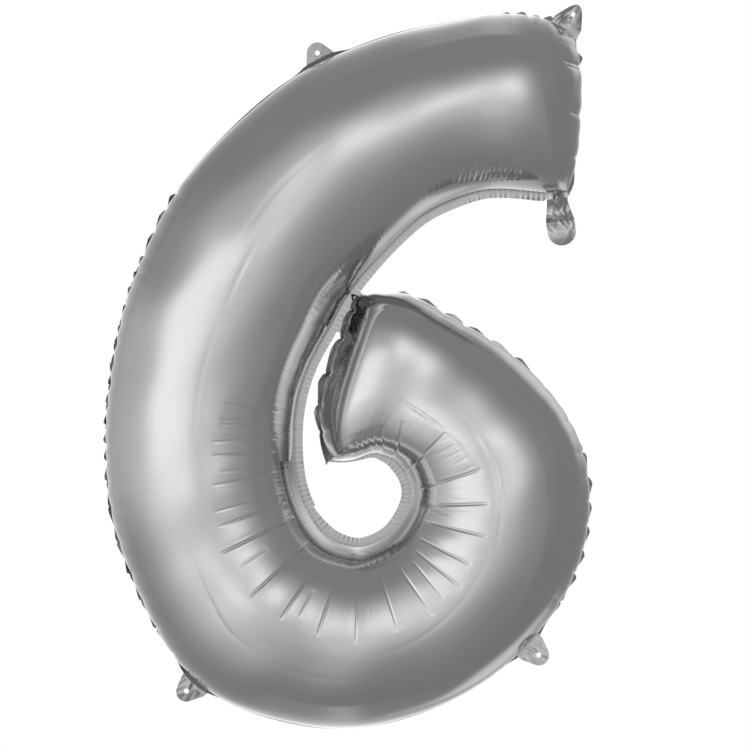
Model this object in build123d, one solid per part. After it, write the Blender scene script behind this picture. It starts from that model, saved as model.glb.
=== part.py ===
from build123d import *
from math import cos, hypot, pi, radians, sin, sqrt
import os

import numpy as np

# Foil number balloon, figure six, 34 inch class, inflated. Millimetres, +Z up, front towards -Y.
#
# Two domed film panels are fused along one flat seal, which also closes the notch between the
# figure's free end and its stem. Four punched tabs for thread and one filling neck are cut from
# the seal's margin, and each bends about its own root line. A flat two-film valve lies inside the
# envelope above the neck. The origin is the centre of the hole in the upper left tab, which the
# balloon is hung from.

# ---- driving dimensions -------------------------------------------------------------------
WALL = 0.6              # film panel
DEPTH_RATIO = 0.44      # half the tube's depth, as a share of its width
SEAL_THICKNESS = 0.6    # both films fused
SEAL_OUTER = 3.5        # flat margin along the outward edges and the two ends
SEAL_INNER = 8.5        # flat margin along the inward edges
SEAL_OVERLAP = 1.5      # the seal reaches this far in under the panels' rims

TERMINAL_ROUND = 95.0   # length over which the tube closes at its upper end
TERMINAL_BOW = 13.0     # how far that end's seam bows out
STUB_ROUND = 62.0       # the same at the free end inside the figure
STUB_BOW = 15.0

TAB_TIP_RADIUS = 12.5
TAB_HOLE_RADIUS = 3.0
TAB_ROOT_WIDTH = 38.0
TAB_THICKNESS = 0.6     # both films fused
TAB_GAP = 0.6           # running room at a tab's bending line

NECK_WIDTH = 34.0
NECK_LENGTH = 56.0
NECK_GAP = 1.0
PLY = 0.3               # one ply of the neck, or one film of the valve
SIDE_WELD = 3.0         # width of the welds that close the neck's and valve's sides
VALVE_WIDTH = 26.0
VALVE_LENGTH = 115.0

STEPS_A_RIB = 8         # for measuring the tube's length
STEPS_ALONG = 66        # for a panel's surface
STEPS_ACROSS = 14
END_STEPS = 6
SURFACE_TOLERANCE = 0.02
SEAM_STEP = 24.0        # between the points of the seal's edges
JOIN_LAP = 5.0          # the seal's two halves lap by this much before they are joined
TOUCHING = 0.01         # points this close are one point

# Ribs across the tube, from the upper end, round the bowl, to the free end: the seam's point on
# the outward edge and its point on the inward edge, each as (x, z).
RIBS = [
    ((305, 24), (298, -166)), ((278, 38), (273, -168)), ((242, 46), (239, -165)),
    ((194, 44), (202, -165)), ((146, 35), (167, -175)), ((94, 24), (131, -192)),
    ((35, 3), (102, -215)), ((-22, -25), (77, -240)), ((-77, -66), (54, -267)),
    ((-128, -116), (31, -299)), ((-170, -169), (14, -331)), ((-204, -233), (-4, -363)),
    ((-231, -308), (-18, -399)), ((-247, -391), (-25, -436)), ((-252, -463), (-26, -474)),
    ((-246, -545), (-22, -510)), ((-222, -622), (-11, -542)), ((-182, -703), (6, -567)),
    ((-132, -759), (23, -580)), ((-65, -791), (39, -586)), ((15, -806), (53, -587)),
    ((90, -798), (69, -582)), ((161, -772), (84, -573)), ((224, -731), (95, -561)),
    ((276, -676), (104, -545)), ((313, -606), (109, -529)), ((325, -533), (108, -514)),
    ((315, -470), (103, -502)), ((289, -420), (94, -490)), ((250, -375), (82, -482)),
    ((205, -341), (68, -478)), ((153, -311), (54, -480)), ((103, -288), (36, -483)),
    ((43, -290), (3, -473)),
]

# Each tab: its hole's centre (x, z), the way it points in degrees, and the hole's height above
# the line that it bends about
TABS = {
    "top_left": ((0, 0), 116, 9.0),
    "top_right": ((305, 46), 60, 14.5),
    "bottom_left": ((-156, -761), 222, 12.5),
    "bottom_right": ((264, -718), -43, 13.5),
}
NECK_ROOT = (286, -174)    # middle of the neck's bending line
NECK_POINTS = -82          # the way it hangs, in degrees
VALVE_ROOT = (277, -162)
VALVE_POINTS = 102


# ---- the tube's plan ----------------------------------------------------------------------
def natural_spline(values):
    """A curve of s through the rows of values at s = 0, 1, 2 ..., smooth in slope and bend."""
    values = np.array(values, float)
    count = len(values)
    beside = np.ones(count - 1)
    system = np.diag(np.full(count, 4.0)) + np.diag(beside, 1) + np.diag(beside, -1)
    bends = np.zeros_like(values)
    bends[1:-1] = 6 * (values[2:] - 2 * values[1:-1] + values[:-2])
    system[0, :] = system[-1, :] = 0
    system[0, 0] = system[-1, -1] = 1
    bends = np.linalg.solve(system, bends)

    def at(s):
        i = min(int(s), count - 2)
        f, g = s - i, 1 - (s - i)
        return (g * values[i] + f * values[i + 1]
                + ((g**3 - g) * bends[i] + (f**3 - f) * bends[i + 1]) / 6)
    return at


LAST = len(RIBS) - 1
outward_seam = natural_spline([rib[0] for rib in RIBS])
inward_seam = natural_spline([rib[1] for rib in RIBS])

rib_numbers = np.linspace(0, LAST, LAST * STEPS_A_RIB + 1)
middles = np.array([(outward_seam(s) + inward_seam(s)) / 2 for s in rib_numbers])
travelled = np.concatenate([[0], np.cumsum(np.hypot(*np.diff(middles, axis=0).T))])
LENGTH = travelled[-1]


def rib_at(distance):
    """The rib number at a distance along the tube's middle line."""
    return float(np.interp(distance, travelled, rib_numbers))


def bow(distance):
    """How far the tube's ribs bow along it, most at the two end seams: negative at the upper end."""
    upper = max(0, 1 - distance / TERMINAL_ROUND) ** 2
    lower = max(0, 1 - (LENGTH - distance) / STUB_ROUND) ** 2
    return STUB_BOW * lower - TERMINAL_BOW * upper


def plan_point(distance, across, inset=0.0):
    """(x, z) at a distance along the tube; across runs from -1, the outward seam, to 1."""
    s = rib_at(distance)
    outer, inner = outward_seam(s), inward_seam(s)
    width = hypot(*(inner - outer))
    along_rib = (inner - outer) / width
    forward = np.array([-along_rib[1], along_rib[0]]) * FORWARD
    middle = (outer + inner) / 2
    return middle + along_rib * across * (width / 2 - inset) + forward * bow(distance) * (1 - across**2)


def tube_width(distance):
    s = rib_at(distance)
    return hypot(*(inward_seam(s) - outward_seam(s)))


def travel_sense():
    """1 or -1, so that forward points along the tube, from the upper end to the free end."""
    rib = inward_seam(1) - outward_seam(1)
    step = middles[STEPS_A_RIB * 2] - middles[STEPS_A_RIB]
    return 1 if -rib[1] * step[0] + rib[0] * step[1] > 0 else -1


FORWARD = travel_sense()


# ---- panels -------------------------------------------------------------------------------
def closing(distance):
    """From 0 at an end seam to 1 where the tube has its full depth."""
    upper = min(1, distance / TERMINAL_ROUND)
    lower = min(1, (LENGTH - distance) / STUB_ROUND)
    return sqrt(upper * (2 - upper)) * sqrt(lower * (2 - lower))


def stations(inset):
    """Distances along the tube, closer together towards its ends."""
    near_end = [1 - cos(pi / 2 * i / END_STEPS) for i in range(END_STEPS)]
    start = [inset + TERMINAL_ROUND * f for f in near_end]
    end = [LENGTH - inset - STUB_ROUND * f for f in reversed(near_end)]
    middle = list(np.linspace(TERMINAL_ROUND, LENGTH - STUB_ROUND, STEPS_ALONG))
    return start + middle + end


def dome(side, inset):
    """One domed surface of a panel. side is -1 in front and 1 behind; inset makes the inner skin."""
    grid = []
    for distance in stations(inset):
        height = (DEPTH_RATIO * tube_width(distance) - inset) * closing_of_skin(distance, inset)
        line = []
        for turn in np.linspace(0, pi, STEPS_ACROSS + 1):
            x, z = plan_point(distance, -cos(turn), inset)
            y = side * (SEAL_THICKNESS / 2 + height * sin(turn))
            line.append(Vector(x, y, z))
        grid.append(line)
    return Face.make_surface_from_array_of_points(grid, tol=SURFACE_TOLERANCE)


def closing_of_skin(distance, inset):
    """The skin's share of its full depth, 0 where the skin meets the seal."""
    stretch = LENGTH / (LENGTH - 2 * inset)
    return closing(min(max((distance - inset) * stretch, 0), LENGTH))


def panel(side):
    """A film panel: outer and inner skins, joined round their edges by a flat rim."""
    outside, inside = dome(side, 0), dome(side, WALL)
    rims = []
    for edge in outside.edges():
        partner = min(inside.edges(), key=lambda other: (other.center() - edge.center()).length)
        rims.append(Face.make_surface_from_curves(edge, partner))
    return Solid(Shell([outside, inside, *rims]))


# ---- the seal -----------------------------------------------------------------------------
def offset_curve(distances, across, margin):
    """Points beside a seam: across picks the seam, margin is how far outside the tube they lie."""
    points = []
    for distance in distances:
        here = plan_point(distance, across)
        step = plan_point(min(distance + 1, LENGTH), across) - plan_point(max(distance - 1, 0), across)
        normal = np.array([-step[1], step[0]]) / hypot(*step)
        away = 1 if normal @ (here - plan_point(distance, 0)) > 0 else -1
        points.append(here + normal * away * margin)
    return points


def end_curve(distance, margin):
    """Points beside an end seam, from the outward edge to the inward edge."""
    behind = min(max(distance, TERMINAL_ROUND), LENGTH - STUB_ROUND)
    points = []
    for across in np.linspace(-1, 1, 9):
        here = plan_point(distance, across)
        step = plan_point(distance, min(across + 0.01, 1)) - plan_point(distance, max(across - 0.01, -1))
        normal = np.array([-step[1], step[0]]) / hypot(*step)
        away = 1 if normal @ (here - plan_point(behind, 0)) > 0 else -1
        points.append(here + normal * away * margin)
    return points


def xz_face(runs):
    """A face in the XZ plane, bounded by smooth runs of points, joined by straight lines."""
    edges, last = [], None
    for run in runs:
        corners = [Vector(x, 0, z) for x, z in run]
        if last is not None and (corners[0] - last).length > TOUCHING:
            edges.append(Edge.make_line(last, corners[0]))
        edges.append(Edge.make_spline(corners) if len(corners) > 2 else Edge.make_line(*corners))
        last = corners[-1]
    first = edges[0].position_at(0)
    if (first - last).length > TOUCHING:
        edges.append(Edge.make_line(last, first))
    return Face(Wire(edges))


def tube_face(start, end, outer_margin, inner_margin, end_margin):
    """The tube's plan between two distances, with a margin round it. End seams keep their bow."""
    distances = np.linspace(start, end, int((end - start) / SEAM_STEP) + 1)
    runs = [offset_curve(distances, -1, outer_margin), offset_curve(distances, 1, inner_margin)[::-1]]
    if end == LENGTH:
        runs.insert(1, end_curve(LENGTH, end_margin))
    if start == 0:
        runs.append(end_curve(0, end_margin)[::-1])
    return xz_face(runs)


def cavity_face(inset):
    """The plan of the air space between the panels, drawn in by an inset all round."""
    distances = np.linspace(inset, LENGTH - inset, int(LENGTH / SEAM_STEP) + 1)
    across = np.linspace(-1, 1, 9)
    outward = [plan_point(d, -1, inset) for d in distances]
    free_end = [plan_point(LENGTH - inset, a, inset) for a in across]
    inward = [plan_point(d, 1, inset) for d in distances[::-1]]
    upper_end = [plan_point(inset, a, inset) for a in across[::-1]]
    return xz_face([outward, free_end, inward, upper_end])


def plate(face, y_from, y_to):
    """A plate from a face in the XZ plane."""
    return extrude(Pos(0, y_from, 0) * face, amount=y_to - y_from, dir=(0, 1, 0))


def notch_web():
    """The film left between the free end's upper corner and the stem."""
    corners = [(50, -284), (33, -303), (20, -331), (28, -334), (44, -318), (58, -291)]
    return Face(Wire.make_polygon([Vector(x, 0, z) for x, z in corners]))


def seal():
    """The fused margin: the tube's plan and its margins, less the open middle of the panels."""
    half = LENGTH / 2
    margins = (SEAL_OUTER, SEAL_INNER, SEAL_OUTER)
    sheet = tube_face(0, half, *margins) + tube_face(half - JOIN_LAP, LENGTH, *margins) + notch_web()
    for hole, points, height in TABS.values():
        root = beyond(hole, points, -height)
        sheet -= strip(root, points, -TAB_GAP, height + TAB_TIP_RADIUS, TAB_ROOT_WIDTH + 2)
    sheet -= strip(NECK_ROOT, NECK_POINTS, -NECK_GAP, NECK_LENGTH, NECK_WIDTH + 4)
    return plate(sheet - cavity_face(SEAL_OVERLAP), -SEAL_THICKNESS / 2, SEAL_THICKNESS / 2)


# ---- tabs, neck and valve -----------------------------------------------------------------
def beyond(point, points, distance):
    """The (x, z) at a distance from a point, the way that an angle in degrees points."""
    return (point[0] + distance * cos(radians(points)), point[1] + distance * sin(radians(points)))


def strip(root, points, start, end, width):
    """A rectangle on a centre line that leaves a root point at an angle, between two distances."""
    corners = []
    for along, aside in ((start, -1), (end, -1), (end, 1), (start, 1)):
        x, z = beyond(beyond(root, points, along), points + 90, aside * width / 2)
        corners.append(Vector(x, 0, z))
    return Face(Wire.make_polygon(corners))


def tongue(root, points, root_width, tip_distance, tip_radius):
    """A flat tongue in the XZ plane: a round tip, and straight sides to its bending line."""
    left = beyond(root, points + 90, root_width / 2)
    right = beyond(root, points - 90, root_width / 2)
    tip = beyond(root, points, tip_distance)
    bending_line = Edge.make_line((left[0], left[1]), (right[0], right[1]))
    outline = make_hull([bending_line, Edge.make_circle(tip_radius, Plane((tip[0], tip[1], 0)))])
    below_the_line = strip(root, points, -2 * tip_radius, 0, 2 * root_width)
    return Rot(90, 0, 0) * outline - below_the_line


def hanging_tab(name):
    """A punched tab of fused film."""
    hole, points, height = TABS[name]
    root = beyond(hole, points, -height)
    outline = tongue(root, points, TAB_ROOT_WIDTH, height, TAB_TIP_RADIUS)
    body = plate(outline, -TAB_THICKNESS / 2, TAB_THICKNESS / 2)
    punch = Plane((hole[0], 0, hole[1]), z_dir=(0, 1, 0)) * Cylinder(TAB_HOLE_RADIUS, 4 * TAB_THICKNESS)
    return body - punch


def neck_ply(side):
    """One of the two films of the filling neck, its round mouth lowest."""
    tip = NECK_LENGTH - NECK_WIDTH / 2
    outline = tongue(NECK_ROOT, NECK_POINTS, NECK_WIDTH, tip, NECK_WIDTH / 2)
    return plate(outline, *sorted((side * PLY, side * 2 * PLY)))


def side_welds(root, points, width, length):
    """The two welds, between two films, that close a flat channel's sides."""
    welds = []
    for aside in (-1, 1):
        edge = beyond(root, points + 90, aside * (width - SIDE_WELD) / 2)
        welds.append(plate(strip(edge, points, 0, length, SIDE_WELD), -PLY, PLY))
    return Compound(welds)


def valve_film(side):
    """One of the two thin films that press shut as the self-sealing valve."""
    outline = strip(VALVE_ROOT, VALVE_POINTS, 0, VALVE_LENGTH, VALVE_WIDTH)
    return plate(outline, *sorted((side * PLY, side * 2 * PLY)))


def build():
    """Every piece, by name."""
    straight_sides = NECK_LENGTH - NECK_WIDTH / 2
    pieces = {
        "front_panel": panel(-1),
        "back_panel": panel(1),
        "perimeter_seal": seal(),
        "filling_neck_front_ply": neck_ply(-1),
        "filling_neck_back_ply": neck_ply(1),
        "filling_neck_side_welds": side_welds(NECK_ROOT, NECK_POINTS, NECK_WIDTH, straight_sides),
        "valve_front_film": valve_film(-1),
        "valve_back_film": valve_film(1),
        "valve_side_welds": side_welds(VALVE_ROOT, VALVE_POINTS, VALVE_WIDTH, VALVE_LENGTH),
    }
    for name in TABS:
        pieces[f"hanging_tab_{name}"] = hanging_tab(name)
    return pieces


def main():
    os.makedirs("parts", exist_ok=True)
    for name, solid in build().items():
        solid.label = name
        export_step(solid, f"parts/{name}.step")


if __name__ == "__main__":
    main()
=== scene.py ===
"""Foil number balloon, figure six, with its film, seam margin, hanging tabs, neck and stage."""

from math import cos, pi, radians, sin

import bpy
import numpy as np
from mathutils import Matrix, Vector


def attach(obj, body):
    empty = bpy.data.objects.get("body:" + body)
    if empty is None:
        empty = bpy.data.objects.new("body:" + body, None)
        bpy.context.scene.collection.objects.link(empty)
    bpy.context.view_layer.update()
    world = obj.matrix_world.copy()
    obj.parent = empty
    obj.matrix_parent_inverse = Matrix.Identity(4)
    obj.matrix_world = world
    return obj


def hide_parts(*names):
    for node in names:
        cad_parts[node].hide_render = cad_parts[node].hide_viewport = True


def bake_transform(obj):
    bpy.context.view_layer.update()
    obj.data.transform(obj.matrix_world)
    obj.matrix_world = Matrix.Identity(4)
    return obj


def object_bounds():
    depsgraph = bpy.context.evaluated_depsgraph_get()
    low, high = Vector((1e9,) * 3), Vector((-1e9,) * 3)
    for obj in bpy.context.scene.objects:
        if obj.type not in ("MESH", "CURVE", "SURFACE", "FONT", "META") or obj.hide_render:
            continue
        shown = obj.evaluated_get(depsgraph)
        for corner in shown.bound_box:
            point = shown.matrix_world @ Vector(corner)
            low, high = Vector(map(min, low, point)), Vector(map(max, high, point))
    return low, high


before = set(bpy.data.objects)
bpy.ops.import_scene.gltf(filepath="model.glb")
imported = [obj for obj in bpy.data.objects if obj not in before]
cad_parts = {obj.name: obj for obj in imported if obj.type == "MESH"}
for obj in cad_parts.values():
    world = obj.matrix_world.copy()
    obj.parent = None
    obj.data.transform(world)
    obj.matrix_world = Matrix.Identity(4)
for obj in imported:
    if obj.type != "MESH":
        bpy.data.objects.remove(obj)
CAD_BOX = [list(corner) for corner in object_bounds()]

bl_info = {
    "name": "Foil Number Balloon",
    "version": (1, 0, 0),
    "blender": (4, 5, 0),
    "location": "View3D > Sidebar > Balloon",
    "description": "Makes the film, seams, tabs and neck of a silver number balloon",
    "category": "Mesh",
}

MM = 0.001
COLOUR_A, COLOUR_B, COLOUR_OUT = 6, 7, 2    # the Mix node's colour sockets

# ---- the tube's plan, in millimetres ----
# Ribs across the tube, from the upper end, round the bowl, to the free end: x and z of the
# seam's point on the outward edge, then of its point on the inward edge.
RIBS = [
    (305, 24, 298, -166), (278, 38, 273, -168), (242, 46, 239, -165), (194, 44, 202, -165),
    (146, 35, 167, -175), (94, 24, 131, -192), (35, 3, 102, -215), (-22, -25, 77, -240),
    (-77, -66, 54, -267), (-128, -116, 31, -299), (-170, -169, 14, -331), (-204, -233, -4, -363),
    (-231, -308, -18, -399), (-247, -391, -25, -436), (-252, -463, -26, -474),
    (-246, -545, -22, -510), (-222, -622, -11, -542), (-182, -703, 6, -567),
    (-132, -759, 23, -580), (-65, -791, 39, -586), (15, -806, 53, -587), (90, -798, 69, -582),
    (161, -772, 84, -573), (224, -731, 95, -561), (276, -676, 104, -545), (313, -606, 109, -529),
    (325, -533, 108, -514), (315, -470, 103, -502), (289, -420, 94, -490), (250, -375, 82, -482),
    (205, -341, 68, -478), (153, -311, 55, -481), (103, -288, 38, -486), (43, -290, 14, -486),
]
TERMINAL_ROUND = 95.0   # length over which the tube closes at its upper end
TERMINAL_BOW = 13.0     # how far that end's seam bows out
TERMINAL_FULLNESS = 2.5     # exponent of its rounding: 2 is round, and more is squarer
STUB_ROUND = 62.0       # the same length and bow at the free end inside the figure
STUB_BOW = 22.0
STUB_SKEW = 0.7         # how much more that bow lies towards the inward side
STUB_WALL = 20.0        # how far in from that end its steep wall reaches
WALL_TURN = 5           # exponent of the turn from that wall into the tube
STUB_FACE = 190.0       # length over which the film slopes down and flattens to the free end
STUB_FALL = 0.25        # share of its depth that it loses there
STUB_FULLNESS = 0.9     # what its section's exponent gains there, over an ellipse's 2
STEPS_A_RIB = 8         # steps along the tube's middle line from rib to rib
# Rows of the film's mesh over the upper end, the free end and the tube between, and columns
TERMINAL_STEPS, STUB_STEPS, TUBE_STEPS, ACROSS_STEPS = 90, 64, 1400, 156

# Each tab: its hole's centre (x, z), the way it points in degrees, and the hole's height above
# the line that it bends about
TABS = {
    "top_left": ((0, 0), 116, 9.0),
    "top_right": ((305, 46), 60, 14.5),
    "bottom_left": ((-156, -761), 222, 12.5),
    "bottom_right": ((264, -718), -43, 13.5),
}
TAB_HOLE_RADIUS = 3.0
TAB_TUCK = 10.0         # how far a tab's root reaches in between the films
NECK_ROOT = (286, -174)
NECK_POINTS = -82       # in degrees, as the tabs' way
NECK_TOP, NECK_TIP = -14, 56    # the neck's two ends, from its root down its own axis
STUB_CORNER = (14, -486)        # the free end's lower corner

# ---- where the film gathers ----
# Puffs along the outward seam: the middle of each puff on the stem's left, and the pinches
# between puffs on the hook and bowl's right and on the two end seams, each as (x, z)
STEM_PUFFS = [
    (-181, -172), (-192, -193), (-204, -230), (-214, -252), (-221, -267), (-228, -288),
    (-233, -310), (-240, -338), (-245, -354), (-247, -383), (-251, -408), (-253, -428),
    (-252, -460), (-252, -475), (-251, -501), (-247, -521), (-243, -560), (-231, -604),
    (-216, -638), (-204, -668), (-181, -706),
]
BOWL_PINCHES = [
    (60, -284), (81, -285), (114, -303), (148, -315), (174, -328), (204, -347), (229, -369),
    (264, -404), (292, -443), (311, -477), (323, -505), (325, -534), (323, -564), (317, -593),
    (309, -622), (292, -655),
]
TOP_PINCHES = [(214, 46), (232, 46), (252, 45), (268, 41), (284, 37)]
TERMINAL_PINCHES = [(308, 2), (309, -18), (311, -76), (308, -126)]
STUB_PINCHES = [(36, -305), (25, -340), (12, -382), (5, -420), (3, -452)]

# Radial creases in the film: x and z of each start, then of its end, and its depth
RADIAL_HALF_WIDTH = 2.1
RADIAL_LEAD = 0.12      # how much further inward each starts, as a share of its length
RADIAL_CREASES = [
    (108, -496, 152, -452, 1.0), (123, -518, 193, -495, 1.0), (131, -538, 202, -535, 0.8),
    (134, -558, 200, -574, 0.7), (128, -580, 181, -607, 0.7), (123, -596, 170, -634, 0.7),
    (117, -608, 149, -646, 0.45), (99, -613, 138, -668, 0.7), (77, -626, 96, -684, 0.7),
    (49, -626, 46, -700, 0.7), (21, -629, 1, -690, 0.7), (-4, -614, -42, -671, 0.8),
    (-18, -589, -79, -645, 1.0), (-36, -557, -113, -594, 1.0), (-48, -538, -113, -562, 0.7),
    (-48, -526, -119, -545, 0.5), (-55, -501, -121, -514, 0.6), (-60, -493, -113, -498, 0.3),
    (-55, -475, -121, -479, 0.6), (-55, -459, -123, -463, 0.5), (-64, -444, -112, -442, 0.35),
    (-67, -439, -112, -437, 0.3), (-53, -426, -107, -418, 0.4), (-5, -640, -20, -668, 0.4),
    (-62, -590, -92, -610, 0.35), (92, -483, 102, -438, 0.8), (78, -475, 77, -443, 0.6),
    (71, -475, 65, -446, 0.55), (64, -472, 56, -450, 0.5), (57, -470, 48, -454, 0.45),
    (50, -470, 40, -458, 0.4), (312, -17, 288, -11, 0.9), (312, -22, 294, -17, 0.6),
    (314, -77, 289, -68, 0.9), (314, -72, 296, -66, 0.5), (311, -126, 292, -124, 0.7),
    (37, -305, 56, -315, 0.9), (25, -340, 43, -346, 0.7),
]
# Long creases: the points that each runs through, depth (less than 0 is a ridge), half width
LONG_CREASES = [
    (((97, -413), (122, -428), (152, -451)), 0.95, 3.4),
    (((154, -452), (168, -468), (184, -494)), 0.5, 3.5),
    (((170, -430), (198, -466), (211, -501), (217, -540), (211, -588)), 0.8, 4),
    (((205, -590), (178, -640), (140, -680), (96, -706), (52, -716)), 0.25, 4),
    (((-154, -575), (-139, -617), (-120, -659), (-101, -687), (-72, -710)), 1.1, 4),
    (((-66, -714), (-20, -735), (30, -742), (80, -736)), 0.2, 5),
    (((-40, -187), (-62, -217), (-86, -258), (-108, -308)), 0.55, 3.5),
    (((-108, -308), (-126, -352), (-139, -410), (-144, -470)), 0.25, 5),
    (((40, -96), (-30, -150), (-82, -215), (-122, -300)), 0.18, 5),
    (((290, -160), (272, -126)), -1.0, 7), (((33, -348), (18, -385), (7, -420)), -0.7, 5),
    (((53, -315), (75, -301), (109, -309)), -1.0, 6),
    (((20, -484), (33, -468), (49, -458)), -1.1, 5),
]
# Combs of small pleats: first and last start, the vector of each pleat, how many, depth, width
PLEATS = [
    ((163, -156), (237, -153), (7, 27), 13, 1.3, 2.8),
    ((-12, -318), (16, -286), (14, 9), 6, 0.35, 2.6),
    ((134, -468), (164, -500), (27, 14), 5, 0.25, 2.6),
    ((132, -526), (134, -548), (50, 0), 5, 0.10, 2.4),
    ((36, -640), (70, -640), (0, -34), 6, 0.10, 2.4),
    ((-60, -560), (-48, -580), (-38, -24), 4, 0.12, 2.4),
]


# ---- settings ----
class FilmSettings(bpy.types.PropertyGroup):
    depth_ratio: bpy.props.FloatProperty(
        name="Depth ratio", description="Half the tube's depth, as a share of its width",
        default=0.44, min=0.2, max=0.5, subtype="FACTOR")
    pinch_depth: bpy.props.FloatProperty(
        name="Pinch depth", description="How far the film pulls in where the seam gathers",
        default=0.0035, min=0, max=0.02, unit="LENGTH")
    pinch_reach: bpy.props.FloatProperty(
        name="Pinch reach", description="Length over which a pinch dies away across the film",
        default=0.007, min=0.003, max=0.08, unit="LENGTH")
    seam_recess: bpy.props.FloatProperty(
        name="Seam recess", description="How far the outward seam sits in behind the puffs",
        default=0.0042, min=0, max=0.01, unit="LENGTH")
    puff: bpy.props.FloatProperty(
        name="Puff", description="How far the film swells between two pinches",
        default=0.0012, min=0, max=0.005, unit="LENGTH")
    crease_share: bpy.props.FloatProperty(
        name="Crease share", description="How deep the creases are, as a share of the usual",
        default=1.35, min=0, max=3)
    unevenness: bpy.props.FloatProperty(
        name="Unevenness", description="Height of the film's slow waves",
        default=0.00035, min=0, max=0.003, unit="LENGTH")


class SeamSettings(bpy.types.PropertyGroup):
    outward_margin: bpy.props.FloatProperty(
        name="Outward margin", description="Width of the fused margin on outward edges",
        default=0.0042, min=0.002, max=0.01, unit="LENGTH")
    inward_margin: bpy.props.FloatProperty(
        name="Inward margin", description="Width of the fused margin on inward edges",
        default=0.0088, min=0.002, max=0.012, unit="LENGTH")
    ruffle: bpy.props.FloatProperty(
        name="Ruffle", description="How far the margin waves to the front and back",
        default=0.0022, min=0, max=0.005, unit="LENGTH")
    film_thickness: bpy.props.FloatProperty(
        name="Fused thickness", description="Thickness of the two films, fused",
        default=0.0003, min=0.0001, max=0.001, unit="LENGTH")


class FinishSettings(bpy.types.PropertyGroup):
    silver: bpy.props.StringProperty(
        name="Silver film", description="Colour of the metallised film, as sRGB hex",
        default="D6D6D6")
    fused: bpy.props.StringProperty(
        name="Fused film", description="Colour of the sealed margin and tabs, as sRGB hex",
        default="C2C2C2")
    neck: bpy.props.StringProperty(
        name="Neck film", description="Colour of the creased filling neck, as sRGB hex",
        default="C4C4C4")
    valve: bpy.props.StringProperty(
        name="Valve film", description="Colour of the milky valve film, as sRGB hex",
        default="E4E6E3")


class StageSettings(bpy.types.PropertyGroup):
    camera_distance: bpy.props.FloatProperty(
        name="Camera distance", description="From the camera to the seam's plane",
        default=6.0, min=1, unit="LENGTH")
    frame_width: bpy.props.FloatProperty(
        name="Frame width", description="Width that the camera sees at the seam's plane",
        default=0.89475, min=0.2, unit="LENGTH")
    floor_drop: bpy.props.FloatProperty(
        name="Floor drop", description="From the balloon's foot down to the floor",
        default=0.55, min=0, unit="LENGTH")
    floor: bpy.props.StringProperty(
        name="Floor", description="Colour of the floor, as sRGB hex", default="F2F2F1")


# ---- the tube's shape ----
def natural_spline(values):
    """A curve of s through the rows of values at s = 0, 1, 2 ..., smooth in slope and bend."""
    count = len(values)
    beside = np.ones(count - 1)
    system = np.diag(np.full(count, 4.0)) + np.diag(beside, 1) + np.diag(beside, -1)
    bends = np.zeros_like(values)
    bends[1:-1] = 6 * (values[2:] - 2 * values[1:-1] + values[:-2])
    system[0, :] = system[-1, :] = 0
    system[0, 0] = system[-1, -1] = 1
    bends = np.linalg.solve(system, bends)

    def at(s):
        i = np.clip(np.floor(s).astype(int), 0, count - 2)
        f = (s - i)[:, None]
        g = 1 - f
        return (g * values[i] + f * values[i + 1]
                + ((g**3 - g) * bends[i] + (f**3 - f) * bends[i + 1]) / 6)
    return at


LAST = len(RIBS) - 1
seams = natural_spline(np.array(RIBS, float))
rib_numbers = np.linspace(0, LAST, LAST * STEPS_A_RIB + 1)
middles = seams(rib_numbers).reshape(-1, 2, 2).mean(axis=1)
travelled = np.concatenate([[0], np.cumsum(np.hypot(*np.diff(middles, axis=0).T))])
LENGTH = travelled[-1]


def bow(distance):
    """How far the tube's ribs bow along it: negative at the upper end."""
    upper = np.clip(1 - distance / TERMINAL_ROUND, 0, 1) ** 2
    lower = np.clip(1 - (LENGTH - distance) / STUB_ROUND, 0, 1) ** 2
    return STUB_BOW * lower - TERMINAL_BOW * upper


def near_stub(distance):
    """From 1 at the free end's seam to 0 where its broad, flat face begins."""
    return 1 - np.clip((LENGTH - distance) / STUB_FACE, 0, 1)


def closing(distance):
    """From 0 at an end seam to 1 where the tube has its full depth."""
    upper = np.clip(distance / TERMINAL_ROUND, 0, 1)
    wall = (LENGTH - distance) / STUB_WALL
    lower = wall / (1 + wall**WALL_TURN) ** (1 / WALL_TURN)
    fall = 1 - STUB_FALL * near_stub(distance) ** 1.5
    rounded = (1 - (1 - upper) ** TERMINAL_FULLNESS) ** (1 / TERMINAL_FULLNESS)
    return rounded * lower * fall


def stations():
    """Distances along the tube of the film's rows, closer together towards its ends."""
    first = TERMINAL_ROUND * (1 - np.cos(np.linspace(0, pi / 2, TERMINAL_STEPS)))
    last = LENGTH - STUB_ROUND * (1 - np.cos(np.linspace(pi / 2, 0, STUB_STEPS)))
    tube = np.linspace(TERMINAL_ROUND, LENGTH - STUB_ROUND, TUBE_STEPS)
    return np.concatenate([first[:-1], tube, last[1:]])


def smooth_dome(depth_ratio):
    """The film with no creases: points (row, column, xyz) in millimetres, y being its depth."""
    distance = stations()
    turn = np.linspace(0, pi, ACROSS_STEPS + 1)
    across = -np.cos(turn)[None, :, None]
    both = seams(np.interp(distance, travelled, rib_numbers))
    outer, inner = both[:, None, :2], both[:, None, 2:]
    rib = inner - outer
    width = np.linalg.norm(rib, axis=2, keepdims=True)
    forward = np.stack([rib[..., 1], -rib[..., 0]], axis=-1) / width
    skew = 1 + STUB_SKEW * across * (distance > LENGTH / 2)[:, None, None]
    bowing = bow(distance)[:, None, None] * (1 - across**2) * skew
    plan = (outer + inner) / 2 + rib * across / 2 + forward * bowing
    fullness = 2 + STUB_FULLNESS * near_stub(distance)[:, None]
    arch = (1 - np.abs(np.cos(turn)) ** fullness).clip(0) ** (1 / fullness)
    depth = depth_ratio * width[..., 0] * closing(distance)[:, None] * arch
    return np.stack([plan[..., 0], depth, plan[..., 1]], axis=-1)


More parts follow.
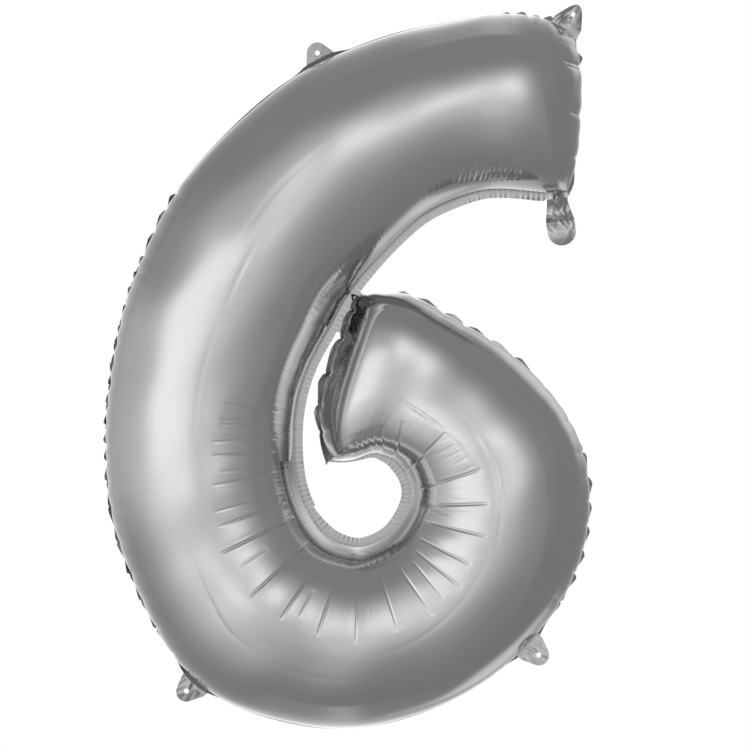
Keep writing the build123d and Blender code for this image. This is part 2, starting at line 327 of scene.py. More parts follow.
def outward_normals(points):
    """Unit normals of the smooth film, lying in the seam's plane all along the seam."""
    normal = np.cross(np.gradient(points, axis=0), np.gradient(points, axis=1))
    middle = normal[len(points) // 2, ACROSS_STEPS // 2, 1]
    normal *= np.sign(middle)
    normal[:, [0, -1], 1] = 0
    normal[[0, -1], :, 1] = 0
    return normal / np.maximum(np.linalg.norm(normal, axis=2, keepdims=True), 1e-9)


def run_length(points, axis):
    """Length along a grid's rows or columns, from their first point."""
    steps = np.linalg.norm(np.diff(points, axis=axis), axis=2)
    lead = [(1, 0), (0, 0)] if axis == 0 else [(0, 0), (1, 0)]
    return np.cumsum(np.pad(steps, lead), axis=axis)


def places_on(line, run, places):
    """How far along a line each of some (x, z) places is."""
    return sorted(float(run[np.argmin(np.hypot(*(line - np.array(p)).T))]) for p in places)


def gathers(run, pinches, reach, spread=2.4, fan=0.14):
    """1 at a pinch, falling to 0 within a few millimetres, and wider further into the film."""
    total = np.zeros_like(reach)
    chance = np.random.default_rng(11)
    for place in pinches:
        size = chance.uniform(0.65, 1.1)
        total = np.maximum(total, size * np.exp(-np.abs(run - place) / (spread + fan * reach)))
    return total


def away_from_calm(x, z, near=18.0, far=42.0):
    """0 beside a tab or the neck, where the film lies smooth, and 1 further off."""
    calm_places = [hole for hole, _, _ in TABS.values()] + [NECK_ROOT]
    away = np.min([np.hypot(x - p[0], z - p[1]) for p in calm_places], axis=0)
    t = np.clip((away - near) / (far - near), 0, 1)
    return t * t * (3 - 2 * t)


def crease(x, z, path, depth, half_width, valley=0.5, reach=8.0, tapered=0.35):
    """The height of one crease, a sharp groove in a soft valley, tapered to both its ends."""
    path = np.array(path, float)
    if len(path) > 2:
        path = natural_spline(path)(np.linspace(0, len(path) - 1, 6 * len(path)))
    rise = np.zeros_like(x)
    (left, low), (right, high) = path.min(axis=0) - 20, path.max(axis=0) + 20
    near = (x > left) & (x < right) & (z > low) & (z < high)
    x, z = x[near], z[near]
    lengths = np.hypot(*np.diff(path, axis=0).T)
    aside, along, travelled_so_far = np.full(x.shape, 1e3), np.zeros(x.shape), 0.0
    for start, end, length in zip(path, path[1:], lengths):
        way = (end - start) / length
        on = np.clip((x - start[0]) * way[0] + (z - start[1]) * way[1], 0, length)
        off = np.hypot(x - start[0] - on * way[0], z - start[1] - on * way[1])
        closer = off < aside
        aside = np.where(closer, off, aside)
        along = np.where(closer, travelled_so_far + on, along)
        travelled_so_far += length
    taper = np.sin(pi * np.clip(along / travelled_so_far, 0, 1)) ** tapered
    groove = np.clip(1 - aside / half_width, 0, 1) ** 1.3
    soft = np.exp(-(aside / reach) ** 2)
    rise[near] = -depth * taper * (groove + valley * soft)
    return rise


def slow_waves(x, z, height, seed):
    """Low, broad unevenness of stretched film."""
    chance = np.random.default_rng(seed)
    total = np.zeros_like(x)
    for _ in range(9):
        way, phase = chance.uniform(0, pi), chance.uniform(0, 2 * pi)
        wave = chance.uniform(70, 190)
        total += np.sin(2 * pi * (x * cos(way) + z * sin(way)) / wave + phase) * wave / 130
    return height * total


class Envelope:
    """The film's rows and columns, creased, with the seam that front and back share."""
    puff_reach, recess_reach = 12, 5    # how far in from the seam each is at its most
    pleat_middle, pleat_spread = 0.26, 0.13     # of the fine pleats, as shares of the width
    pleat_height = 0.022

    def __init__(self, film):
        self.smooth = smooth_dome(film.depth_ratio)
        self.normal = outward_normals(self.smooth)
        self.x, self.z = self.smooth[..., 0], self.smooth[..., 2]
        across, along = run_length(self.smooth, 1), run_length(self.smooth, 0)
        self.from_outer, self.from_inner = across, across[:, -1:] - across
        self.from_top, self.from_stub = along, along[-1:] - along
        self.outer_run = along[:, :1]
        self.end_free_run = along[:, -1:] * np.ones_like(across)
        self.end_run = [across[:1], across[-1:]]
        plan = self.smooth[..., [0, 2]]
        self.outer_pinches = self.pinches_on(plan[:, 0], self.outer_run[:, 0])
        self.end_pinches = [
            places_on(plan[0], across[0], TERMINAL_PINCHES),
            places_on(plan[-1], across[-1], STUB_PINCHES),
        ]
        self.shared = self.gathered(film)

    @staticmethod
    def pinches_on(line, run):
        puffs = places_on(line, run, STEM_PUFFS)
        between = [(a + b) / 2 for a, b in zip(puffs, puffs[1:])]
        ends = [puffs[0] - 11, puffs[-1] + 14]
        return sorted(between + ends + places_on(line, run, BOWL_PINCHES + TOP_PINCHES))

    def gathered(self, film):
        """The film's rise or fall where the outward seam and the two end seams gather it."""
        deep, reach = film.pinch_depth / MM, film.pinch_reach / MM
        recess, puff = film.seam_recess / MM, film.puff / MM
        calm = away_from_calm(self.x, self.z)
        inner_fade = np.clip(self.from_inner / 30, 0, 1)
        rise = np.zeros_like(self.x)
        edges = [
            (self.outer_run, self.outer_pinches, self.from_outer),
            (self.end_run[0], self.end_pinches[0], self.from_top),
            (self.end_run[1], self.end_pinches[1], self.from_stub),
        ]
        for run, pinches, inside in edges:
            pinch = gathers(run, pinches, inside)
            nearest = np.min([np.abs(run - p) for p in pinches], axis=0)
            lively = np.clip(1.6 - nearest / 22, 0, 1)
            swell = (inside / self.puff_reach) * np.exp(1 - inside / self.puff_reach)
            rise += calm * (puff * lively * (1 - pinch) * swell
                            - deep * pinch * np.exp(-inside / reach)
                            - recess * np.exp(-inside / self.recess_reach) * inner_fade)
        return rise

    def creased(self, side, film):
        """One side's film, in millimetres: side is -1 in front and 1 behind."""
        rise = self.shared.copy()
        chance = np.random.default_rng(5 if side < 0 else 6)
        stray = 0 if side < 0 else 1
        away = np.clip(self.from_inner / 12, 0, 1) * np.clip(self.from_outer / 40, 0, 1)
        for *ends, depth in RADIAL_CREASES:
            start, end = np.array(ends, float).reshape(2, 2)
            start -= RADIAL_LEAD * (end - start)
            end += stray * chance.uniform(-9, 9, 2)
            rise += crease(self.x, self.z, (start, end), film.crease_share * depth,
                           RADIAL_HALF_WIDTH)
        for path, depth, half_width in LONG_CREASES:
            path = np.array(path, float) + stray * chance.uniform(-9, 9, 2)
            rise += crease(self.x, self.z, path, depth, half_width, valley=0.15, tapered=0.8)
        for first, last, way, count, depth, half_width in PLEATS:
            for t in np.linspace(0, 1, count):
                start = np.array(first) * (1 - t) + np.array(last) * t
                start = start + chance.uniform(-1.2, 1.2, 2)
                size = chance.uniform(0.6, 1.0)
                end = start + np.array(way) * chance.uniform(0.7, 1.1)
                rise += crease(self.x, self.z, (start, end), depth * size, half_width, valley=0)
        rise += self.fine_gathers(8 if side < 0 else 9)
        rise += away * slow_waves(self.x, self.z, film.unevenness / MM, 3 if side < 0 else 4)
        points = self.smooth + self.normal * rise[..., None]
        points[..., 1] = np.maximum(points[..., 1], 0) * side
        points[:, [0, -1], 1] = 0
        points[[0, -1], :, 1] = 0
        return points

    def fine_gathers(self, seed):
        """Fine, faint pleating of the film where it turns in to the inward seam."""
        chance = np.random.default_rng(seed)
        run = self.end_free_run
        share = self.from_inner / (self.from_inner + self.from_outer + 1e-6)
        band = np.exp(-((share - self.pleat_middle) / self.pleat_spread) ** 2)
        total = np.zeros_like(self.x)
        for _ in range(8):
            pitch, phase = chance.uniform(3.5, 9), chance.uniform(0, 2 * pi)
            patch, shift = chance.uniform(60, 150), chance.uniform(0, 2 * pi)
            total += (np.sin(2 * pi * run / pitch + phase + 2 * share)
                      * (0.5 + 0.5 * np.sin(2 * pi * run / patch + shift)) * pitch / 6)
        return self.pleat_height * band * total

    def seam_loop(self, film):
        """The whole seam as one loop: points, ways out of the film and margin kinds."""
        points = self.creased(-1, film)
        rows = [(points[:, 0], self.normal[:, 0], 0), (points[-1, 1:], self.normal[-1, 1:], 1),
                (points[-2::-1, -1], self.normal[-2::-1, -1], 2),
                (points[0, -2:0:-1], self.normal[0, -2:0:-1], 3)]
        line = np.concatenate([r[0] for r in rows])
        ways = np.concatenate([r[1] for r in rows])
        kinds = np.concatenate([np.full(len(r[0]), r[2]) for r in rows])
        return line, ways, kinds


# ---- making meshes ----
def film_mesh(name, points, quads):
    """An object from points in millimetres and quads, in the frame's metres."""
    mesh = bpy.data.meshes.new(name)
    mesh.from_pydata(points.reshape(-1, 3) * MM, [], quads.tolist())
    mesh.validate()
    mesh.shade_smooth()
    film = bpy.data.objects.new(name, mesh)
    bpy.context.collection.objects.link(film)
    return film


def grid_quads(rows, columns, closed=False):
    """Quads of a grid of points; closed joins the last row to the first."""
    index = np.arange(rows * columns).reshape(rows, columns)
    if closed:
        index = np.vstack([index, index[:1]])
    return np.stack([index[:-1, :-1], index[:-1, 1:], index[1:, 1:], index[1:, :-1]],
                    axis=-1).reshape(-1, 4)


def laid(root, points, along, aside, deep):
    """Points along and aside from a root's way, given in degrees, and in depth."""
    c, s = cos(radians(points)), sin(radians(points))
    return np.stack([root[0] + along * c - aside * s, deep,
                     root[1] + along * s + aside * c], axis=-1)


def only(piece):
    """Selects one object and nothing else, and makes it the active one."""
    bpy.ops.object.select_all(action="DESELECT")
    piece.select_set(True)
    bpy.context.view_layer.objects.active = piece


def mode(name):
    bpy.ops.object.mode_set(mode=name)


def thicken(piece, thickness):
    """Gives a film its thickness, equally to both sides."""
    only(piece)
    solid = piece.modifiers.new("Film thickness", "SOLIDIFY")
    solid.thickness, solid.offset = thickness, 0
    bpy.ops.object.modifier_apply(modifier=solid.name)
    bpy.ops.object.shade_smooth_by_angle(angle=radians(50))


def finish_piece(piece, slot):
    """Gives a piece the material of one of the record's slots."""
    piece.data.materials.clear()
    piece.data.materials.append(finish(slot))


# ---- materials ----
def linear(hex_colour):
    """An sRGB hex colour as linear RGBA."""
    parts = [int(hex_colour[i:i + 2], 16) / 255 for i in (0, 2, 4)]
    return (*[c / 12.92 if c <= 0.04045 else ((c + 0.055) / 1.055) ** 2.4 for c in parts], 1)


def add_node(tree, kind, inputs=None, **settings):
    """Adds a shader node; inputs gives each socket, by name or number, a value or an output."""
    node = tree.nodes.new("ShaderNode" + kind)
    for name, value in settings.items():
        setattr(node, name, value)
    for socket, value in (inputs or {}).items():
        if isinstance(value, bpy.types.NodeSocket):
            tree.links.new(value, node.inputs[socket])
        else:
            node.inputs[socket].default_value = value
    return node


def new_material(name):
    """A material with an empty node tree, and that tree."""
    material = bpy.data.materials.new(name)
    material.use_nodes = True
    material.node_tree.nodes.clear()
    return material, material.node_tree


# Each slot's film: its material's name, its colour among the settings, its least and greatest
# roughness, the size and height of its grain and of its crinkles in millimetres, and how
# metallic it is
FILMS = {
    # Vapour-coated polyester under pressure: a soft mirror with a faint haze
    "silver_film": ("Metallised polyester film, stretched", "silver",
                    (0.10, 0.15), 3.0, 0.003, 40, 0.02, 1.0),
    # Two films fused by a hot bar: duller, and faintly cockled by the heat
    "fused_film": ("Metallised polyester film, heat-sealed", "fused",
                   (0.20, 0.30), 1.6, 0.01, 9, 0.12, 1.0),
    # Unstretched film that has been handled: crisp little facets
    "neck_film": ("Metallised polyester film, crinkled", "neck",
                  (0.14, 0.24), 2.0, 0.02, 7, 0.35, 1.0),
    # Blown low-density polyethylene: milky and slick
    "valve_film": ("Polyethylene film, milky", "valve",
                   (0.32, 0.42), 2.5, 0.02, 18, 0.1, 0.0),
}
HAZE_SIZE = 85.0        # millimetres over which a film's gloss drifts
TINT_SHARE = 0.94       # a film's darker tint, as a share of its colour


def film_material(name, colour, rough, grain, grain_height, crinkle, crinkle_height, metallic):
    """Film whose gloss varies softly, with a fine grain and crinkles."""
    material, tree = new_material(name)
    place = add_node(tree, "TexCoord").outputs["Object"]
    haze = add_node(tree, "TexNoise", {"Vector": place, "Scale": 1000 / HAZE_SIZE,
                                                 "Detail": 4.0, "Roughness": 0.55})
    roughness = add_node(tree, "MapRange", {
        "Value": haze.outputs["Fac"], "From Min": 0.3, "From Max": 0.7,
        "To Min": rough[0], "To Max": rough[1]})
    base = linear(colour)
    darker = (*[TINT_SHARE * c for c in base[:3]], 1)
    tint = add_node(tree, "Mix", {0: haze.outputs["Fac"], COLOUR_A: darker, COLOUR_B: base},
                    data_type="RGBA")
    fine = add_node(tree, "TexNoise", {"Vector": place, "Scale": 1000 / grain,
                                                 "Detail": 2.0})
    bump = add_node(tree, "Bump", {"Height": fine.outputs["Fac"], "Strength": 1.0,
                                             "Distance": grain_height * MM})
    folds = add_node(tree, "TexVoronoi", {"Vector": place, "Scale": 1000 / crinkle},
                     feature="F1", distance="EUCLIDEAN")
    bump = add_node(tree, "Bump", {
        "Height": folds.outputs["Distance"], "Strength": 1.0,
        "Distance": crinkle_height * MM, "Normal": bump.outputs["Normal"]})
    shader = add_node(tree, "BsdfPrincipled", {
        "Base Color": tint.outputs[COLOUR_OUT], "Metallic": metallic,
        "Roughness": roughness.outputs["Result"], "Normal": bump.outputs["Normal"]})
    add_node(tree, "OutputMaterial", {"Surface": shader.outputs["BSDF"]})
    return material


def finish(slot):
    """The material of one of the record's slots, made when it is first asked for."""
    name, colour, *looks = FILMS[slot]
    made = bpy.data.materials.get(name)
    return made or film_material(name, getattr(bpy.context.scene.balloon_finish, colour), *looks)


# ---- operators ----
class MakePanels(bpy.types.Operator):
    """Make the front and back films, domed, pinched along their seam and creased"""
    bl_idname = "balloon.make_panels"
    bl_label = "Front and back films"

    def execute(self, context):
        film = context.scene.balloon_film
        envelope = Envelope(film)
        for side, name, node in ((-1, "front_film", "front_panel"),
                                 (1, "back_film", "back_panel")):
            points = envelope.creased(side, film)
            quads = grid_quads(*points.shape[:2])
            corners = points.reshape(-1, 3)[quads[len(quads) // 2 + ACROSS_STEPS // 2]]
            facing = np.cross(corners[1] - corners[0], corners[2] - corners[0])[1]
            if facing * side < 0:
                quads = quads[:, ::-1]
            panel = film_mesh(name, points, quads)
            finish_piece(panel, "silver_film")
            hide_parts(node)
            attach(panel, "envelope")
        return {"FINISHED"}


class MakeSeamMargin(bpy.types.Operator):
    """Make the fused margin all round the films, ruffled where the seam gathers"""
    bl_idname = "balloon.make_seam_margin"
    bl_label = "Seam margin"
    across = (-0.35, 0.0, 0.3, 0.65, 1.0)   # its rows: 0 at the seam, 1 at its edge
    lean = 6.5              # how far its edge leans to the front or back
    narrowest = 0.22        # share of its width left beside the free end's lower corner
    longest_puff = 48       # pinches further apart than this have no puff between them

    def execute(self, context):
        film, seam = context.scene.balloon_film, context.scene.balloon_seam
        envelope = Envelope(film)
        line, ways, kinds = envelope.seam_loop(film)
        ways = self.softened(ways)
        run = np.concatenate([[0], np.cumsum(np.linalg.norm(np.diff(line, axis=0), axis=1))])
        margin = np.where(kinds == 2, seam.inward_margin, seam.outward_margin) / MM
        margin = self.softened(margin[:, None])[:, 0] * self.narrowing(line, kinds)
        lens, wave = self.ruffles(envelope, line, kinds, run)
        margin = margin + lens
        lip = np.array(self.across)
        points = line[:, None] + ways[:, None] * (margin[:, None] * lip)[..., None]
        out = np.clip(lip, 0, 1)
        lean = np.where(kinds == 2, 0, 1)[:, None] * ways[:, :1] * self.lean
        points[..., 1] += wave[:, None] * out ** 1.3 * seam.ruffle / MM + lean * out
        strip = film_mesh("seam_margin", points, grid_quads(*points.shape[:2], closed=True))
        self.close_notch(strip)
        thicken(strip, seam.film_thickness)
        finish_piece(strip, "fused_film")
        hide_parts("perimeter_seal")
        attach(strip, "envelope")
        return {"FINISHED"}

    @staticmethod
    def softened(rows, reach=7):
        """Rows averaged with their neighbours round the loop, so that corners turn gently."""
        total = sum(np.roll(rows, shift, axis=0) for shift in range(-reach, reach + 1))
        if rows.shape[1] == 1:
            return total / (2 * reach + 1)
        return total / np.linalg.norm(total, axis=1, keepdims=True)

    def narrowing(self, line, kinds):
        """The margin's share of its width, narrow near the free end's corner and the neck."""
        corner = np.hypot(line[:, 0] - 8, line[:, 2] + 478)
        share = np.clip(self.narrowest + 0.78 * (corner - 34) / 55, self.narrowest, 1)
        hook = line[:, 2] > -440
        share = np.where((kinds != 2) | hook | (line[:, 0] < -10), 1, share)
        neck = np.hypot(line[:, 0] - NECK_ROOT[0], line[:, 2] - NECK_ROOT[1])
        return share * np.clip((neck - 9) / 8, 0.1, 1)

    def ruffles(self, envelope, line, kinds, run):
        """How far the margin's edge stands out in each puff, and its wave to front and back."""
        plan = line[:, [0, 2]]
        chance = np.random.default_rng(23)
        places = []
        for kind, pinches in ((0, envelope.outer_pinches), (1, envelope.end_pinches[1])):
            start = run[kinds == kind][0]
            places += [start + p for p in pinches]
        back = run[kinds == 3]
        places += [back[-1] - p for p in envelope.end_pinches[0]]
        places = sorted(places)
        lens, wave = np.zeros(len(line)), np.zeros(len(line))
        for number, (a, b) in enumerate(zip(places, places[1:])):
            if b - a > self.longest_puff:
                continue
            inside = (run > a) & (run < b)
            t = (run[inside] - a) / (b - a)
            lens[inside] = chance.uniform(2.4, 4.8) * (1 - np.abs(2 * t - 1)) ** 1.1
            wave[inside] = chance.uniform(0.4, 1.0) * np.sin(pi * t) * (-1) ** number
        calm = away_from_calm(plan[:, 0], plan[:, 1], near=14, far=24)
        inward = kinds == 2
        handled = 0.25 + 0.9 * np.exp(-((plan[:, 0] - 235) / 45) ** 2) * (plan[:, 1] > -210)
        for _ in range(6):
            pitch, phase = chance.uniform(5, 16), chance.uniform(0, 2 * pi)
            wave[inward] += (0.16 * handled * np.sin(2 * pi * run / pitch + phase))[inward]
        corner = np.hypot(plan[:, 0] - STUB_CORNER[0], plan[:, 1] - STUB_CORNER[1])
        lens = lens * np.where(kinds == 3, 1.5, 1) * np.clip((corner - 12) / 18, 0, 1)
        return lens * calm, wave * np.where(inward, 1, calm)

    @staticmethod
    def close_notch(strip):
        """Adds the web of film between the free end's upper corner and the stem."""
        web = [(50, -284), (33, -303), (20, -331), (28, -334), (44, -318), (58, -291)]
        mesh = strip.data
        first = len(mesh.vertices)
        mesh.vertices.add(len(web))
        for i, (x, z) in enumerate(web):
            mesh.vertices[first + i].co = (x * MM, 0.5 * MM, z * MM)
        bpy.context.view_layer.update()
        only(strip)
        mode("EDIT")
        bpy.ops.mesh.select_all(action="DESELECT")
        mode("OBJECT")
        for i in range(len(web)):
            mesh.vertices[first + i].select = True
        mode("EDIT")
        bpy.ops.mesh.select_mode(type="VERT")
        bpy.ops.mesh.edge_face_add()
        mode("OBJECT")


def tab_outline(height, tip_radius=12.5, root_width=38.0):
    """Distances from a tab's hole to its edge, every way round from its pointing axis."""
    angles = np.linspace(0, 2 * pi, 97)[:-1]
    ways = np.stack([np.cos(angles), np.sin(angles)], axis=1)
    root = np.array([[-height, root_width / 2], [-height, -root_width / 2]])
    circle = tip_radius * np.stack([np.cos(angles), np.sin(angles)], axis=1)
    corners = np.vstack([circle, root])
    reach = []
    for way in ways:
        aside = np.array([-way[1], way[0]])
        best = 0.0
        along, off = corners @ way, corners @ aside
        # The hull's edge is the furthest crossing of any line between two corners
        for i in range(len(circle), len(corners)):
            for j in range(len(corners)):
                if off[i] * off[j] < 0:
                    t = off[i] / (off[i] - off[j])
                    best = max(best, along[i] + t * (along[j] - along[i]))
        reach.append(max(best, tip_radius if way[0] > -0.2 else best))
    return angles, np.array(reach)


class MakeTabs(bpy.types.Operator):
    """Make the four punched hanging tabs, creased where they leave the seam"""
    bl_idname = "balloon.make_tabs"
    bl_label = "Hanging tabs"

    # Each tab's twist about its axis in degrees, its lean to the front in degrees, and how
    # deep its creases are in millimetres
    manners = {
        "top_left": (4, 6, 0.4), "top_right": (44, 10, 3.4),
        "bottom_left": (-14, 12, 1.8), "bottom_right": (8, 8, 1.1),
    }

    def execute(self, context):
        for number, (name, (hole, points, height)) in enumerate(TABS.items()):
            tab = self.tab(name, number, hole, points, height)
            thicken(tab, context.scene.balloon_seam.film_thickness)
            finish_piece(tab, "fused_film")
            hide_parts(f"hanging_tab_{name}")
            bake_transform(tab)
        return {"FINISHED"}

    def tab(self, name, number, hole, points, height):
        """One tab: rings of points from its hole to its edge, folded and twisted."""
        twist, lean, fold = self.manners[name]
        chance = np.random.default_rng(40 + number)
        angles, reach = tab_outline(height)
        share = np.linspace(0, 1, 11) ** 0.9
        rings = TAB_HOLE_RADIUS + (reach[:, None] - TAB_HOLE_RADIUS) * share
        along, aside = rings * np.cos(angles)[:, None], rings * np.sin(angles)[:, None]
        under = np.clip((-along - height + 1.5) / 1.5, 0, 1)
        along = along - under * TAB_TUCK
        rise = np.zeros_like(along)
        for _ in range(7):
            way, at = chance.uniform(-0.5, 0.5), chance.uniform(-15, 15)
            ridge = (aside - at) * cos(way) + (along + height) * sin(way)
            rise += chance.choice([-1, 1]) * np.clip(1 - np.abs(ridge) / 3.5, 0, 1)
        near_root = np.exp(-(along + height) / 16)
        rise = rise * fold * np.clip(near_root, 0, 1) * 0.8
        up = np.clip((along + height) / (height + 8), 0, 1.4)
        turn = radians(twist) * up
        tilt = np.tan(radians(lean)) * np.clip(along + height, 0, None)
        wide, deep = aside * np.cos(turn), aside * np.sin(turn) + rise - tilt
        rest = np.clip((along + height + 2) / 4, 0, 1)
        deep = deep * rest
        grid = laid(hole, points, along, wide, deep)
        return film_mesh(f"tab_film_{name}", grid, grid_quads(*grid.shape[:2], closed=True))


class MakeNeck(bpy.types.Operator):
    """Make the filling neck, gathered at its root and folded, with a round crinkled mouth"""
    bl_idname = "balloon.make_neck"
    bl_label = "Filling neck"

    def execute(self, context):
        down = np.linspace(NECK_TOP, NECK_TIP, 110)
        across = np.linspace(-1, 1, 49)
        half = self.half_width(down)[:, None] * np.ones_like(across)
        aside = half * across
        middle = self.fold(down)[:, None] + self.creases(down[:, None], aside)
        gap = 0.25 + 1.3 * np.clip((down[:, None] - 26) / 14, 0, 1) * (1 - across**2)
        gap = gap * np.sqrt(np.clip((NECK_TIP - down[:, None]) / 8, 0, 1))
        gap = gap + self.puffed_root(down)[:, None] * np.exp(-(aside / 5.5) ** 2)
        front, back = middle - gap, middle + gap
        ring_aside = np.hstack([aside, aside[:, -2:0:-1]])
        ring_deep = np.hstack([front, back[:, -2:0:-1]])
        ring_down = np.repeat(down[:, None], ring_aside.shape[1], axis=1)
        grid = laid(NECK_ROOT, NECK_POINTS, ring_down, ring_aside, ring_deep)
        grid = grid.transpose(1, 0, 2)
        neck = film_mesh("neck_film", grid, grid_quads(*grid.shape[:2], closed=True))
        only(neck)
        mode("EDIT")
        bpy.ops.mesh.select_all(action="SELECT")
        bpy.ops.mesh.remove_doubles(threshold=0.00002)
        bpy.ops.mesh.normals_make_consistent(inside=False)
        mode("OBJECT")
        bpy.ops.object.shade_smooth_by_angle(angle=radians(38))
        finish_piece(neck, "neck_film")
        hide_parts("filling_neck_front_ply", "filling_neck_back_ply",
                    "filling_neck_side_welds")
        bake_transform(neck)
        return {"FINISHED"}

    @staticmethod
    def half_width(down):
        """Half the neck's width: gathered at the root, full below the fold, round at the mouth."""
        gathered = 12.5 + 4.5 * np.clip((down - 4) / 22, 0, 1)
        mouth = np.sqrt(np.clip(1 - ((down - 39) / 17.0).clip(0) ** 2, 0, 1))
        return gathered * mouth

    @staticmethod
    def fold(down):
        """How far back each level lies: the neck runs back, then turns down over a crisp fold."""
        back = 7.0 * np.sin(pi * np.clip(down / 27, 0, 1)) ** 0.8
        lobe = -2.5 * np.sin(pi * np.clip((down - 25) / 31, 0, 1))
        return back + lobe

    @staticmethod
    def puffed_root(down):
        """Half the depth of air held where the neck leaves the film, dying away down it."""
        rising = np.clip((down - NECK_TOP) / -NECK_TOP, 0, 1)
        falling = np.clip(1 - down / 22, 0, 1)
        return 6.5 * rising * (3 - 2 * rising) * rising * falling**1.5

    @staticmethod
    def creases(down, aside):
        """Pleats that run down from the gathered root, and facets on the lobe."""
        chance = np.random.default_rng(77)
        total = np.zeros_like(aside)
        for _ in range(16):
            at, way = chance.uniform(-17, 17), chance.uniform(-0.6, 0.6)
            level = chance.uniform(0, 50)
            size = chance.uniform(0.9, 1.8) if level < 26 else chance.uniform(0.3, 0.8)
            ridge = np.abs((aside - at) * cos(way) + (down - level) * sin(way))
            near = np.exp(-((down - level) / 14) ** 2)
            total += chance.choice([-1, 1]) * size * near * np.clip(1 - ridge / 3.2, 0, 1)
        puffed = np.exp(-(aside / 6.5) ** 2) * np.clip(1.4 - down / 16, 0, 1)
        return total * (1 - 0.9 * puffed)


class FinishValve(bpy.types.Operator):
    """Give the flat self-sealing valve inside the envelope its milky film"""
    bl_idname = "balloon.finish_valve"
    bl_label = "Valve"

    def execute(self, context):
        for node in ("valve_front_film", "valve_back_film", "valve_side_welds"):
            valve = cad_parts[node]
            valve.data.materials.clear()
            valve.data.materials.append(finish("valve_film"))
        return {"FINISHED"}


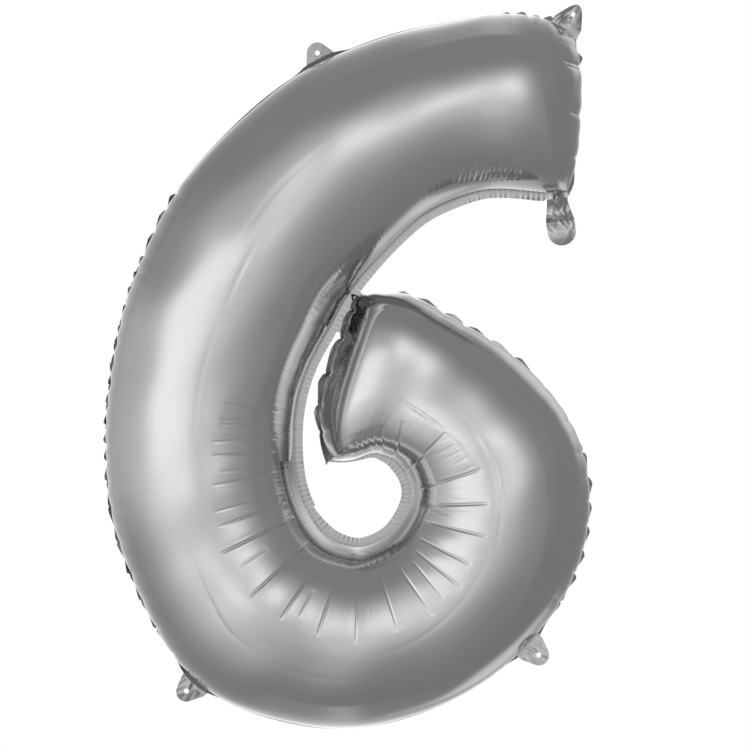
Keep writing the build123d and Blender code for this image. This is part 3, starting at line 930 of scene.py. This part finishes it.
class SetStage(bpy.types.Operator):
    """Set the camera, the floor, the lamps and the pale studio round the balloon"""
    bl_idname = "balloon.set_stage"
    bl_label = "Stage"

    # Soft bright fields that the film mirrors: azimuth and elevation in degrees, azimuth 0
    # being the camera's side and positive to its right, then their spreads, their strength
    # and whether they are flat-topped, as a softbox is, or fade from the middle
    fields = [
        (-33, 7, 24, 12, 0.40, True), (-17, 10, 50, 28, 0.26, True),
        (14, 15, 16, 14, 0.58, False), (-82, 3, 62, 17, 0.24, True),
        (-35, -23, 42, 28, 0.43, False), (-159, -5, 25, 28, 0.37, False),
        (139, 27, 15, 18, 0.47, True), (141, -40, 13, 13, 0.46, True),
        (176, 5, 27, 46, 0.30, True), (180, 0, 9, 60, 0.75, False),
    ]

    view_centre = (0.0688, -0.3841)     # x and z of the middle of the camera's view
    lamps_aim = (0.05, 0, -0.5)
    grey, grey_rise = 0.27, 0.02        # the studio's light, level and added towards the top

    def execute(self, context):
        stage = context.scene.balloon_stage
        low, high = (np.array(corner) for corner in CAD_BOX)
        data = bpy.data.cameras.new("camera")
        data.sensor_width = 36
        data.lens = 36 * stage.camera_distance / stage.frame_width
        camera = bpy.data.objects.new("camera", data)
        camera.location = (self.view_centre[0], -stage.camera_distance, self.view_centre[1])
        camera.rotation_euler = (pi / 2, 0, 0)
        context.collection.objects.link(camera)
        context.scene.camera = camera

        bpy.ops.object.select_all(action="DESELECT")
        bpy.ops.mesh.primitive_circle_add(
            vertices=96, radius=3.2, fill_type="NGON",
            location=(float(low[0] + high[0]) / 2, 0, float(low[2]) - stage.floor_drop))
        floor = context.object
        floor.name = "floor"
        bpy.ops.object.transform_apply(location=True)
        floor.data.materials.append(self.floor_material(stage.floor))
        floor.visible_glossy = False

        for name, place, size, power in (("key_lamp", (-2.2, -2.6, 1.6), 1.6, 110),
                                         ("fill_lamp", (2.6, -2.0, 1.2), 1.8, 50)):
            lamp = bpy.data.lights.new(name, "AREA")
            lamp.energy, lamp.size = power, size
            holder = bpy.data.objects.new(name, lamp)
            holder.location = place
            holder.visible_glossy = False
            aim = np.array(self.lamps_aim) - np.array(place)
            holder.rotation_euler = (
                float(np.arctan2(np.hypot(aim[0], aim[1]), -aim[2])), 0,
                float(np.arctan2(-aim[0], aim[1])))
            context.collection.objects.link(holder)
        self.studio(context.scene)
        context.scene.view_settings.view_transform = "Standard"
        return {"FINISHED"}

    @staticmethod
    def floor_material(colour):
        """Painted floor: pale, matt, faintly uneven."""
        material, tree = new_material("Emulsion paint, rolled")
        place = add_node(tree, "TexCoord").outputs["Object"]
        stipple = add_node(tree, "TexNoise", {"Vector": place, "Scale": 3.0,
                                                        "Detail": 3.0})
        base = linear(colour)
        tint = add_node(tree, "Mix", {
            0: stipple.outputs["Fac"], COLOUR_A: (*[0.97 * c for c in base[:3]], 1),
            COLOUR_B: base}, data_type="RGBA")
        shader = add_node(tree, "BsdfPrincipled",
                          {"Base Color": tint.outputs[COLOUR_OUT], "Roughness": 0.8})
        add_node(tree, "OutputMaterial", {"Surface": shader.outputs["BSDF"]})
        return material

    def studio(self, scene):
        """A grey studio with soft bright fields, and a white ground behind for the camera."""
        world = bpy.data.worlds.new("studio")
        scene.world = world
        world.use_nodes = True
        tree = world.node_tree
        tree.nodes.clear()
        way = add_node(tree, "TexCoord").outputs["Generated"]
        rise = add_node(tree, "SeparateXYZ", {0: way}).outputs["Z"]
        total = add_node(tree, "Math", {0: rise, 1: self.grey_rise, 2: self.grey},
                         operation="MULTIPLY_ADD").outputs[0]
        for field in self.fields:
            total = self.field(tree, way, total, *field)
        seen = add_node(tree, "Background", {"Color": (1, 1, 1, 1), "Strength": 1.0})
        mirrored = add_node(tree, "Background",
                            {"Color": (1, 1, 1, 1), "Strength": total})
        ray = add_node(tree, "LightPath").outputs["Is Camera Ray"]
        both = add_node(tree, "MixShader",
                        {0: ray, 1: mirrored.outputs[0], 2: seen.outputs[0]})
        add_node(tree, "OutputWorld", {"Surface": both.outputs[0]})

    @staticmethod
    def field(tree, way, total, azimuth, elevation, wide, tall, strength, flat):
        """Adds one soft bright field to the studio."""
        a, e = radians(azimuth), radians(elevation)
        centre = (sin(a) * cos(e), -cos(a) * cos(e), sin(e))
        right = (cos(a) / sin(radians(wide)), sin(a) / sin(radians(wide)), 0)
        up = tuple(c / sin(radians(tall)) for c in
                   (-sin(a) * sin(e), cos(a) * sin(e), cos(e)))
        offs = []
        for axis in (right, up):
            off = add_node(tree, "VectorMath", {0: way, 1: axis},
                           operation="DOT_PRODUCT").outputs["Value"]
            for _ in range(2 if flat else 1):
                off = add_node(tree, "Math", {0: off, 1: off}, operation="MULTIPLY").outputs[0]
            offs.append(off)
        facing = add_node(tree, "VectorMath", {0: way, 1: centre},
                          operation="DOT_PRODUCT").outputs["Value"]
        ahead = add_node(tree, "Math", {0: facing, 1: 0.0}, operation="GREATER_THAN").outputs[0]
        glow = offs[0]
        for operation, other in (("ADD", offs[1]), ("MULTIPLY", -1.0), ("EXPONENT", 0.0),
                                 ("MULTIPLY", ahead)):
            glow = add_node(tree, "Math", {0: glow, 1: other}, operation=operation).outputs[0]
        return add_node(tree, "Math", {0: glow, 1: strength, 2: total},
                        operation="MULTIPLY_ADD").outputs[0]


OPERATORS = (MakePanels, MakeSeamMargin, MakeTabs, MakeNeck, FinishValve, SetStage)
SETTINGS = {"balloon_film": FilmSettings, "balloon_seam": SeamSettings,
            "balloon_finish": FinishSettings, "balloon_stage": StageSettings}


class BalloonPanel(bpy.types.Panel):
    """Lists the balloon's pieces"""
    bl_idname = "VIEW3D_PT_balloon"
    bl_label = "Foil number balloon"
    bl_space_type = "VIEW_3D"
    bl_region_type = "UI"
    bl_category = "Balloon"

    def draw(self, context):
        for operator in OPERATORS:
            self.layout.operator(operator.bl_idname)
        for name, group in SETTINGS.items():
            box = self.layout.box()
            for prop in group.__annotations__:
                box.prop(getattr(context.scene, name), prop)


def register():
    for group in (*SETTINGS.values(), *OPERATORS, BalloonPanel):
        bpy.utils.register_class(group)
    for name, group in SETTINGS.items():
        setattr(bpy.types.Scene, name, bpy.props.PointerProperty(type=group))


def unregister():
    for name in SETTINGS:
        delattr(bpy.types.Scene, name)
    for group in reversed((*SETTINGS.values(), *OPERATORS, BalloonPanel)):
        bpy.utils.unregister_class(group)


def main():
    register()
    bpy.ops.balloon.set_stage()
    bpy.ops.balloon.make_panels()
    bpy.ops.balloon.make_seam_margin()
    bpy.ops.balloon.make_tabs()
    bpy.ops.balloon.make_neck()
    bpy.ops.balloon.finish_valve()


if __name__ == "__main__":
    main()
